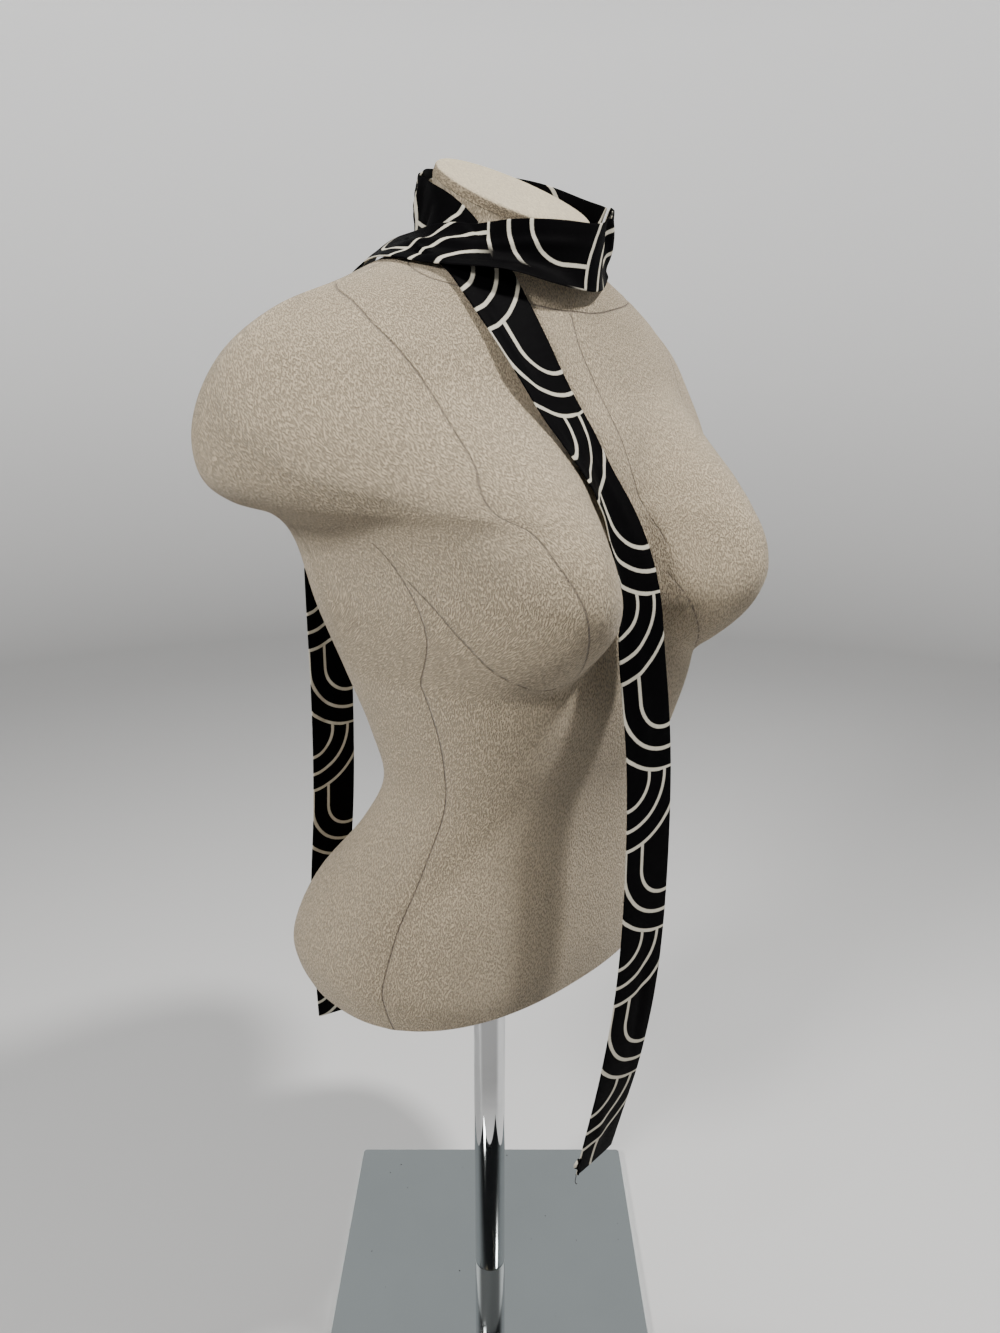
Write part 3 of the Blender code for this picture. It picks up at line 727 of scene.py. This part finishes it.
TIP_SLANT = 0.008
TIP_FADE = 0.090
CREASED_CLEAR = 0.0004  # how far the finished cloth stays off the form
LAYER_CLEAR = 0.0012
CROSSING_REACH = 0.015
NECK_REACH = 0.050
PLAIN_RING_STEPS = 2
PLAIN_RING_POINTS = 60
SETTLE_TURNS = 4
FINER_ALONG = 4  # how many fine cells each coarse cell of the strip is cut into
FINER_ACROSS = 4
CREASE_SPAN = 0.06  # how much of the width the lengthwise crease bends over
# The table rows between which the part below the lengthwise crease turns its plain side out, and
# how sharply it does so along and across the strip.
ROLL_ROWS = (12.0, 16.4)
ROLL_SHARP_ALONG = 2
ROLL_SHARP_ACROSS = 12
# The strand that lies underneath at the crossing comes first. Columns: name, first and last row.
UNDER_STRAND = (
    ("scarf_neck_back", 18, 23),
    ("scarf_neck_right", 23, 27),
    ("scarf_tail_front", 27, 40),
)
OVER_STRAND = (
    ("scarf_tail_back", 0, 9),
    ("scarf_shoulder", 9, 12),
    ("scarf_neck_front", 12, 18),
)
# Creases. Columns: table row where it lies, place across (-1 lower edge, 1 upper), reach along and
# across the strip, how far it runs along for each metre across, and height (below 0 is a trough).
CREASES = (
    (11.4, 0.1, 0.030, 0.004, 2.5, 0.0016),
    (12.3, -0.4, 0.035, 0.004, 3.0, -0.0012),
    (13.2, 0.3, 0.040, 0.003, 2.0, 0.0010),
    (16.6, 0.2, 0.0045, 0.016, 0.25, -0.0022),
    (17.0, 0.1, 0.0042, 0.018, -0.15, 0.0042),
    (17.35, -0.3, 0.0040, 0.014, 0.30, -0.0026),
    (17.7, -0.1, 0.0042, 0.018, 0.10, 0.0044),
    (18.1, 0.3, 0.0042, 0.014, -0.25, -0.0024),
    (18.5, -0.4, 0.0045, 0.012, 0.20, 0.0032),
    (20.3, 0.2, 0.0060, 0.014, 0.35, -0.0010),
    (21.6, -0.3, 0.0050, 0.014, -0.30, 0.0012),
    (23.3, 0.1, 0.0048, 0.016, 0.40, 0.0052),
    (23.6, -0.2, 0.0042, 0.014, 0.20, -0.0030),
    (23.9, 0.2, 0.0048, 0.016, -0.30, 0.0050),
    (24.7, -0.3, 0.0045, 0.012, 0.30, -0.0024),
    (26.2, 0.5, 0.030, 0.0035, 2.0, 0.0012),
    (28.3, -0.5, 0.040, 0.0035, 2.5, -0.0008),
    (31.5, 0.4, 0.030, 0.0040, 3.0, 0.0007),
    (34.4, -0.2, 0.050, 0.0050, 4.0, 0.0008),
    (37.2, 0.3, 0.035, 0.0050, 3.0, -0.0009),
    (39.2, -0.3, 0.012, 0.0060, 0.8, 0.0014),
    (1.2, 0.2, 0.040, 0.0050, 3.0, -0.0009),
    (4.1, -0.3, 0.060, 0.0050, 4.0, 0.0008),
    (6.4, 0.3, 0.040, 0.0045, 3.0, -0.0008),
    (8.2, -0.1, 0.025, 0.0045, 2.0, 0.0012),
)
# The hem at the front end: how many rows of the fine grid its turned-up corner is sewn to, how far
# it reaches past the strip's edge and stands off it, its cells across, and its thickness.
HEM_ROWS = 7
HEM_REACH = 0.0055
HEM_LIFT = 0.0020
HEM_ACROSS = 4
HEM_THICK = 0.0008
# The loose thread: its points from the strip's corner, in x, y and z.
THREAD_RADIUS = 0.00025
THREAD_ROUTE = ((0.0, 0.0, 0.001), (-0.001, -0.001, -0.001), (-0.003, -0.001, -0.002),
                (-0.002, -0.002, -0.005), (0.000, -0.001, -0.006))
THREAD_BLACK = (0.004, 0.004, 0.004)
THREAD_WORN = (0.020, 0.019, 0.018)
EDGE_THIN = 0.45  # how much of the wall is left at its pressed edges
EDGE_PRESS = 6  # the power by which it gets thinner towards them
EDGE_ROUND = 0.8  # how far the edge bulges, in half thicknesses
# The print, in metres on the cloth: line width, the scallops' radii, the step from one row to the
# next, the first row's place from the join, and the places of the centres across the strip.
LINE_WIDTH = 0.0023
LINE_SOFT = 0.00025
LINE_RAGGED = 0.0004
SCALLOP_RADII = (0.0205, 0.034, 0.047)
SCALLOP_STEP = 0.0545
EVEN_ROWS_BACK = 0.007  # every second row lies this much nearer the join
FIRST_ROW = 0.0369
CENTRE_LEFT = -0.0215
CENTRE_RIGHT = 0.0150
JOIN_RUN = 0.9355  # where the two lengths are joined, measured from the tip behind
SATIN_BLACK = (0.0018, 0.0017, 0.0020)
SATIN_CREAM = (0.60, 0.565, 0.47)
SEWN_EDGE = (0.0006, 0.0024)  # the ridge beside the fold, measured from the edge


def loop_row(angle, height, distance, lean, crease, fold):
    """A row round the neck as a middle point, a facing direction, and its crease."""
    turn = math.radians(angle)
    tilt = math.radians(lean)
    out = Vector((math.sin(turn), -math.cos(turn), 0))
    facing = out * math.cos(tilt) + Vector((0, 0, math.sin(tilt)))
    middle = Vector((0, NECK_AXIS_Y, height)) + out * distance
    return (*middle, *facing, crease, fold)


def cross_section(station, tangent, slant):
    """Points across the strip from its lower to its upper edge, bent at its crease."""
    middle = Vector(station[0:3])
    facing = Vector(station[3:6])
    facing = (facing - tangent * facing.dot(tangent)).normalized()
    fold = math.radians(station[7])
    points = [Vector((0, 0, 0))]
    for i in range(ACROSS):
        below = min(1.0, max(0.0, (station[6] - (i + 0.5) / ACROSS) / CREASE_SPAN + 0.5))
        turn = fold * below
        looks = facing * math.cos(turn) + facing.cross(tangent) * math.sin(turn)
        points.append(points[-1] + looks.cross(tangent) * SCARF_WIDTH / ACROSS)
    half = points[ACROSS // 2].copy()
    return [middle + point - half + tangent * slant * (i / ACROSS - 0.5)
            for i, point in enumerate(points)]


def true_width(section):
    """Brings a cross-section back to the strip's real width, with its points evenly spaced."""
    steps = [(b - a).length for a, b in zip(section, section[1:])]
    run = np.concatenate([[0], np.cumsum(steps)])
    grow = max(1.0, SCARF_WIDTH / run[-1])
    middle = run[-1] / 2
    reach = SCARF_WIDTH / 2 / grow
    columns = np.array(section).T
    made = []
    for place in np.linspace(middle - reach, middle + reach, len(section)):
        made.append(Vector([float(np.interp(place, run, column)) for column in columns]))
    centre = made[len(made) // 2]
    return [centre + (point - centre) * grow for point in made]


def clear_of_form(point, tree, gap=SCARF_CLEAR):
    """Moves a point out to where the scarf's inner face clears the form."""
    wanted = gap + SCARF_THICK / 2
    near, normal, _, _ = tree.find_nearest(point)
    if (point - near).dot(normal) >= wanted:
        return point
    return near + normal * wanted


def clear_of_strand(point, tree):
    """Moves a point out to where it lies over the strand that it crosses, unless it is beside it."""
    wanted = SCARF_THICK + LAYER_CLEAR
    near, normal, _, distance = tree.find_nearest(point)
    height = (point - near).dot(normal)
    over = distance < wanted or abs(height) > 0.9 * distance
    if height >= wanted or distance > CROSSING_REACH or not over:
        return point
    return point + normal * (wanted - height)


def settle(grid, form_tree, strand_tree):
    """Lays a grid on what it rests on, and evens it along the strip, in turns."""
    for _ in range(SETTLE_TURNS):
        grid = [true_width([clear_of_form(p, form_tree) for p in row]) for row in grid]
        if strand_tree:
            grid = [[clear_of_strand(p, strand_tree) for p in row] for row in grid]
        evened = [grid[0]]
        for before, here, after in zip(grid, grid[1:], grid[2:]):
            evened.append([(a + b * 2 + c) / 4 for a, b, c in zip(before, here, after)])
        grid = evened + [grid[-1]]
    grid = [[clear_of_form(p, form_tree) for p in row] for row in grid]
    if strand_tree:
        grid = [[clear_of_strand(p, strand_tree) for p in row] for row in grid]
    return grid


def sheet_tree(grid):
    """A search tree over a grid's outer side."""
    wide = len(grid[0])
    corners = [i * wide + j for i in range(len(grid) - 1) for j in range(wide - 1)]
    faces = [(c, c + wide, c + wide + 1, c + 1) for c in corners]
    return BVHTree.FromPolygons([Vector(p) for row in grid for p in row], faces)


def neck_carried_on(rings):
    """A search tree over the form's side, with the neck carried on past its top."""
    rings = [*rings, [p + neck_up * NECK_REACH for p in rings[-1]]]
    return sheet_tree([ring + ring[:1] for ring in reversed(rings)])


def grid_normals(grid):
    normals = np.cross(np.gradient(grid, axis=0), np.gradient(grid, axis=1))
    return normals / np.linalg.norm(normals, axis=2)[:, :, None]


rows = [(*row, 1.0, 0.0) for row in BACK_TAIL + SHOULDER]
rows += [loop_row(*row) for row in NECK_LOOP]
rows += [(*row, 0.0, 0.0) for row in FRONT_TAIL]
course = spline_rows(rows, COURSE_STEPS)
course_marks = np.linspace(0, len(rows) - 1, len(course))
course_steps = np.linalg.norm(np.diff(course[:, 0:3], axis=0), axis=1)
course_run = np.concatenate([[0], np.cumsum(course_steps)])
plain_form = neck_carried_on([form_ring(row, PLAIN_RING_POINTS)
                              for row in spline_rows(FORM_RINGS, PLAIN_RING_STEPS)])
fine_form = neck_carried_on([[Vector(p) for p in ring] for ring in form_points])


def run_at(row):
    return float(np.interp(row, course_marks, course_run))


def rough_grid(start, stop):
    """The strip's middle surface between two places on its run, a row for each station."""
    count = round((stop - start) / STATION_STEP)
    made = []
    for place in np.linspace(start, stop, count + 1):
        station = [float(np.interp(place, course_run, column)) for column in course.T]
        ends = [[float(np.interp(place + reach, course_run, course[:, c])) for c in range(3)]
                for reach in (-STATION_STEP / 2, STATION_STEP / 2)]
        tangent = (Vector(ends[1]) - Vector(ends[0])).normalized()
        from_end = min(place, course_run[-1] - place)
        slant = -TIP_SLANT * max(0.0, 1 - from_end / TIP_FADE)
        made.append(cross_section(station, tangent, slant))
    return made


def fine_grid(grid):
    """The same surface in finer cells, curved through the coarse ones both ways."""
    table = np.array([[tuple(p) for p in row] for row in grid])
    table = spline_rows(table.reshape(len(grid), -1), FINER_ALONG).reshape(-1, ACROSS + 1, 3)
    turned = table.transpose(1, 0, 2)
    finer = spline_rows(turned.reshape(ACROSS + 1, -1), FINER_ACROSS)
    finer = finer.reshape(-1, len(table), 3)
    return finer.transpose(1, 0, 2)


def crease(grid, runs, across):
    """Raises the creases on a fine grid."""
    height = np.zeros(grid.shape[:2])
    for row, place, reach_along, reach_across, slide, rise in CREASES:
        off_across = across[None, :] - place * SCARF_WIDTH / 2
        off_along = runs[:, None] - run_at(row) - slide * off_across
        height += rise * np.exp(-(off_along / reach_along) ** 2
                                - (off_across / reach_across) ** 2)
    return grid + grid_normals(grid) * height[:, :, None]


satin = Look("black satin with cream print", Specular_IOR_Level=0.014)
cloth_place = satin.node("UVMap", {"uv_map": "cloth"}, {})
parted = {"Vector": cloth_place}
u = satin.node("SeparateXYZ", {}, parted, "X")
v = satin.node("SeparateXYZ", {}, parted, "Y")
from_first = v - FIRST_ROW + EVEN_ROWS_BACK
in_pair = from_first - satin.maths("FLOOR", from_first / (SCALLOP_STEP * 2)) * (SCALLOP_STEP * 2)
odd = in_pair > SCALLOP_STEP + EVEN_ROWS_BACK
centre_here = odd * (CENTRE_RIGHT - CENTRE_LEFT) + CENTRE_LEFT
centre_next = (1.0 - odd) * (CENTRE_RIGHT - CENTRE_LEFT) + CENTRE_LEFT
beyond = in_pair - odd * (SCALLOP_STEP + EVEN_ROWS_BACK)
aside = u - centre_here
round_here = satin.maths("SQRT", aside * aside + beyond * beyond)
beside_next = abs(u - centre_next)
covered = round_here < SCALLOP_RADII[-1] + LINE_WIDTH / 2
ragged = satin.noise(cloth_place, scale=900.0, detail=2.0, roughness=0.6)
ragged = ragged * LINE_RAGGED - LINE_RAGGED / 2
reach = beside_next + covered * (round_here - beside_next) + ragged
lines = None
for radius in SCALLOP_RADII:
    line = 1.0 - satin.step(abs(reach - radius), LINE_WIDTH / 2 - LINE_SOFT,
                            LINE_WIDTH / 2 + LINE_SOFT)
    lines = line if lines is None else satin.maths("MAXIMUM", lines, line)
lines = lines * (1.0 - satin.node("Attribute", {"attribute_name": "plain"}, {}, "Fac"))
twill = satin.node("TexWave", {"wave_type": "BANDS", "bands_direction": "DIAGONAL"},
                   {"Vector": cloth_place, "Scale": 900.0, "Distortion": 1.5, "Detail": 1.0,
                    "Detail Scale": 2.0}, "Fac")
pucker = satin.noise(satin.node("Mapping", {}, {"Vector": cloth_place, "Scale": (1.0, 3.0, 1.0)}),
                     scale=55.0, detail=3.0, roughness=0.55)
sewn_edge = 1.0 - satin.step(SCARF_WIDTH / 2 - abs(u), *SEWN_EDGE)
ink = satin.noise(cloth_place, scale=240.0, detail=3.0, roughness=0.6)
print_tone = satin.mix(ink, tuple(c * 0.86 for c in SATIN_CREAM),
                       tuple(c * 1.08 for c in SATIN_CREAM))
ground = satin.mix(twill * 0.5 + pucker * 0.3, tuple(c * 0.8 for c in SATIN_BLACK),
                   tuple(c * 1.6 for c in SATIN_BLACK))
satin.bump(twill * 0.12 + pucker + sewn_edge * 0.35 + lines * 0.1, distance=0.0008, strength=0.35)
satin.finish(satin.mix(lines, ground, print_tone),
             pucker * 0.10 + lines * 0.16 + twill * 0.04 + 0.46)


def cloth_piece(name, grid, normals, runs, across, plain):
    """A closed wall of satin round a fine grid, thinner and rounded at its two long edges."""
    half = SCARF_THICK / 2 * (1 - (1 - EDGE_THIN) * np.abs(across / across[-1]) ** EDGE_PRESS)
    outer = grid + normals * half[None, :, None]
    inner = grid - normals * half[None, :, None]
    high_side = grid[:, -1] - grid[:, -2]
    high_side *= half[-1] * EDGE_ROUND / np.linalg.norm(high_side, axis=1)[:, None]
    low_side = grid[:, 0] - grid[:, 1]
    low_side *= half[-1] * EDGE_ROUND / np.linalg.norm(low_side, axis=1)[:, None]
    rings = np.concatenate([outer, (grid[:, -1] + high_side)[:, None], inner[:, ::-1],
                            (grid[:, 0] + low_side)[:, None]], axis=1)
    places = np.concatenate([across, across[-1:], across[::-1], across[:1], across[:1]])
    around = np.concatenate([plain, plain[:, -1:], plain[:, ::-1], plain[:, :1]], axis=1)
    wide = rings.shape[1]
    lengths = np.abs(runs - JOIN_RUN)
    shape = (len(runs), wide + 1)
    bm = loft([[Vector(p) for p in ring] for ring in rings], np.broadcast_to(places, shape),
              np.broadcast_to(lengths[:, None], shape), (("plain", around),))
    cloth = bm.loops.layers.uv["cloth"]
    count = len(across)
    caps = []
    for row in (0, len(runs) - 1):
        line = bm.verts[row * (wide + 1):(row + 1) * (wide + 1)]
        for j in range(count - 1):
            back = 2 * count - j
            corners = (line[j], line[j + 1], line[back - 1], line[back])
            caps.append(bm.faces.new(corners))
        caps.append(bm.faces.new((line[count - 1], line[count], line[count + 1])))
        caps.append(bm.faces.new((line[wide - 1], line[wide], line[2 * count])))
    for face in caps:
        for loop in face.loops:
            row, column = divmod(loop.vert.index, wide + 1)
            loop[cloth].uv = (places[column], lengths[row])
    close_seam(bm)
    bmesh.ops.recalc_face_normals(bm, faces=bm.faces)
    return add_object(name, bm, satin.material, smooth_angle=60.0)


def hem_corner(name, grid, across):
    """The corner of the sewn end, turned up and out past the strip's edge."""
    sewn = grid[-HEM_ROWS - 1:-1]
    edge = [Vector(p) for p in sewn[:, 0]]
    outward = [(Vector(a) - Vector(b)).normalized() for a, b in zip(sewn[:, 0], sewn[:, 2])]
    bm = bmesh.new()
    cloth = bm.loops.layers.uv.new("cloth")
    bmesh.ops.create_grid(bm, x_segments=HEM_ACROSS, y_segments=len(edge) - 1, size=1.0)
    bm.verts.ensure_lookup_table()
    for i, vert in enumerate(bm.verts):
        row, column = divmod(i, HEM_ACROSS + 1)
        share = row / (len(edge) - 1)
        # It is widest a third of the way down and gone before the tip.
        reach = HEM_REACH * math.sin(math.pi * min(1.0, share * 1.3 + 0.1)) ** 0.7
        out = column / HEM_ACROSS
        vert.co = (edge[row] + outward[row] * reach * out
                   + HEM_LIFT * Vector((0.0, -math.sin(math.pi * out), 0.5 * out)))
        for loop in vert.link_loops:
            loop[cloth].uv = (across[0] + out * reach, share * HEM_REACH)
    bmesh.ops.solidify(bm, geom=bm.faces, thickness=HEM_THICK)
    bmesh.ops.recalc_face_normals(bm, faces=bm.faces)
    return add_object(name, bm, satin.material, smooth_angle=60.0)


def loose_thread(name, root):
    """A short end of sewing thread that hangs from a corner."""
    curve = bpy.data.curves.new(name, "CURVE")
    curve.dimensions = "3D"
    curve.bevel_depth = THREAD_RADIUS
    curve.bevel_resolution = 3
    curve.use_fill_caps = True
    spline = curve.splines.new("NURBS")
    spline.points.add(len(THREAD_ROUTE) - 1)
    for point, step in zip(spline.points, THREAD_ROUTE):
        point.co = (*(root + Vector(step)), 1.0)
    spline.use_endpoint_u = True
    thread = Look("sewing thread")
    strands = thread.noise(thread.place(), scale=1500.0)
    thread.finish(thread.mix(strands, THREAD_BLACK, THREAD_WORN), 0.9 - strands * 0.2)
    curve.materials.append(thread.material)
    obj = bpy.data.objects.new(name, curve)
    bpy.context.scene.collection.objects.link(obj)
    return obj


strand_tree = None
fine_strand = None
for strand in (UNDER_STRAND, OVER_STRAND):
    start = run_at(strand[0][1])
    stop = run_at(strand[-1][2])
    settled = settle(rough_grid(start, stop), plain_form, strand_tree)
    strand_tree = sheet_tree(settled)
    grid = fine_grid(settled)
    runs = np.linspace(start, stop, len(grid))
    across = np.linspace(-SCARF_WIDTH / 2, SCARF_WIDTH / 2, grid.shape[1])
    grid = crease(grid, runs, across)
    grid = np.array([[clear_of_form(Vector(p), fine_form, CREASED_CLEAR) for p in row]
                     for row in grid])
    if fine_strand:
        grid = np.array([[clear_of_strand(Vector(p), fine_strand) for p in row] for row in grid])
    fine_strand = sheet_tree(grid)
    normals = grid_normals(grid)
    marks = np.interp(runs, course_run, course_marks)
    rolled = (np.clip((marks - ROLL_ROWS[0]) * ROLL_SHARP_ALONG, 0, 1)
              * np.clip((ROLL_ROWS[1] - marks) * ROLL_SHARP_ALONG, 0, 1))
    crease_place = np.interp(runs, course_run, course[:, 6])
    below = crease_place[:, None] - (across / SCARF_WIDTH + 0.5)[None, :]
    plain = rolled[:, None] * np.clip(below * ROLL_SHARP_ACROSS, 0, 1)
    for name, first, last in strand:
        low = int(np.argmin(np.abs(runs - run_at(first))))
        high = int(np.argmin(np.abs(runs - run_at(last))))
        part = slice(low, high + 1)
        piece = cloth_piece(name + "_satin", grid[part], normals[part], runs[part], across,
                            plain[part])
        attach(piece, "root")
        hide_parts(name)
        sewn_on = []
        if name == "scarf_tail_front":
            sewn_on = [hem_corner(name + "_hem", grid, across),
                       loose_thread(name + "_thread", Vector(grid[-1, 0]))]
        for extra in sewn_on:
            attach(extra, "root")
            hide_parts(name)
